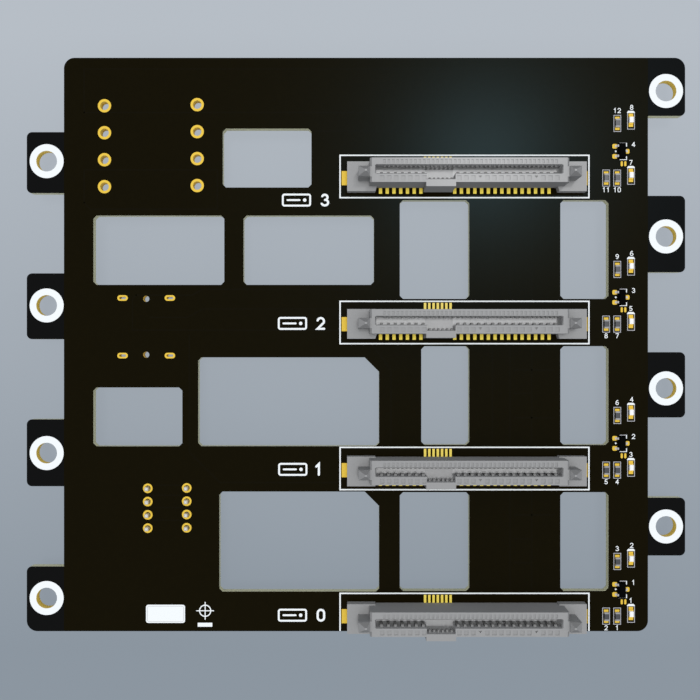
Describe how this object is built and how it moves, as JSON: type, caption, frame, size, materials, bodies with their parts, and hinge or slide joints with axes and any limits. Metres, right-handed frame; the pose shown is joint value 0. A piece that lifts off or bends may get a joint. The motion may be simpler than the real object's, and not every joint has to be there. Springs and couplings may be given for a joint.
{
  "type": "drive backplane board",
  "caption": "Flat circuit board with air windows and screw tabs, a column of upright drive receptacles with guide posts, status lights beside them and wire headers on the back.",
  "frame": {"origin": "middle of the footprint, at the lowest point, which is the mouth of the wire headers", "axes": "+X along the drive receptacles, +Y up the column of bays, +Z out of the component side"},
  "size_m": [0.124, 0.108, 0.016],
  "materials": {
    "solder_mask": "satin solder mask, tan at the cut edges",
    "housing_plastic": "moulded, fine matte",
    "contact_metal": "plated strip",
    "tinned_metal": "tinned, satin",
    "gilt_metal": "gilt, smooth",
    "lens": "milky white",
    "chip_ceramic": "glazed dark grey",
    "moulded_black": "moulded, fine matte",
    "header_plastic": "moulded, natural white"
  },
  "bodies": {
    "root": {"backplane_board": "solder_mask", "header_1_pins": "tinned_metal", "header_1_shell": "header_plastic", "header_2_pins": "tinned_metal", "header_2_shell": "header_plastic", "led_1": "lens", "led_2": "lens", "led_3": "lens", "led_4": "lens", "led_5": "lens", "led_6": "lens", "led_7": "lens", "led_8": "lens", "led_terminals": "gilt_metal", "receptacle_0_housing": "housing_plastic", "receptacle_0_power_contacts": "contact_metal", "receptacle_0_second_port_contacts": "contact_metal", "receptacle_0_signal_contacts": "contact_metal", "receptacle_0_solder_anchors": "tinned_metal", "receptacle_1_housing": "housing_plastic", "receptacle_1_power_contacts": "contact_metal", "receptacle_1_second_port_contacts": "contact_metal", "receptacle_1_signal_contacts": "contact_metal", "receptacle_1_solder_anchors": "tinned_metal", "receptacle_2_housing": "housing_plastic", "receptacle_2_power_contacts": "contact_metal", "receptacle_2_second_port_contacts": "contact_metal", "receptacle_2_signal_contacts": "contact_metal", "receptacle_2_solder_anchors": "tinned_metal", "receptacle_3_housing": "housing_plastic", "receptacle_3_power_contacts": "contact_metal", "receptacle_3_second_port_contacts": "contact_metal", "receptacle_3_signal_contacts": "contact_metal", "receptacle_3_solder_anchors": "tinned_metal", "resistor_1": "chip_ceramic", "resistor_10": "chip_ceramic", "resistor_11": "chip_ceramic", "resistor_12": "chip_ceramic", "resistor_2": "chip_ceramic", "resistor_3": "chip_ceramic", "resistor_4": "chip_ceramic", "resistor_5": "chip_ceramic", "resistor_6": "chip_ceramic", "resistor_7": "chip_ceramic", "resistor_8": "chip_ceramic", "resistor_9": "chip_ceramic", "resistor_end_caps": "tinned_metal", "transistor_1": "moulded_black", "transistor_2": "moulded_black", "transistor_3": "moulded_black", "transistor_4": "moulded_black", "transistor_leads": "tinned_metal"}
  },
  "joints": []
}
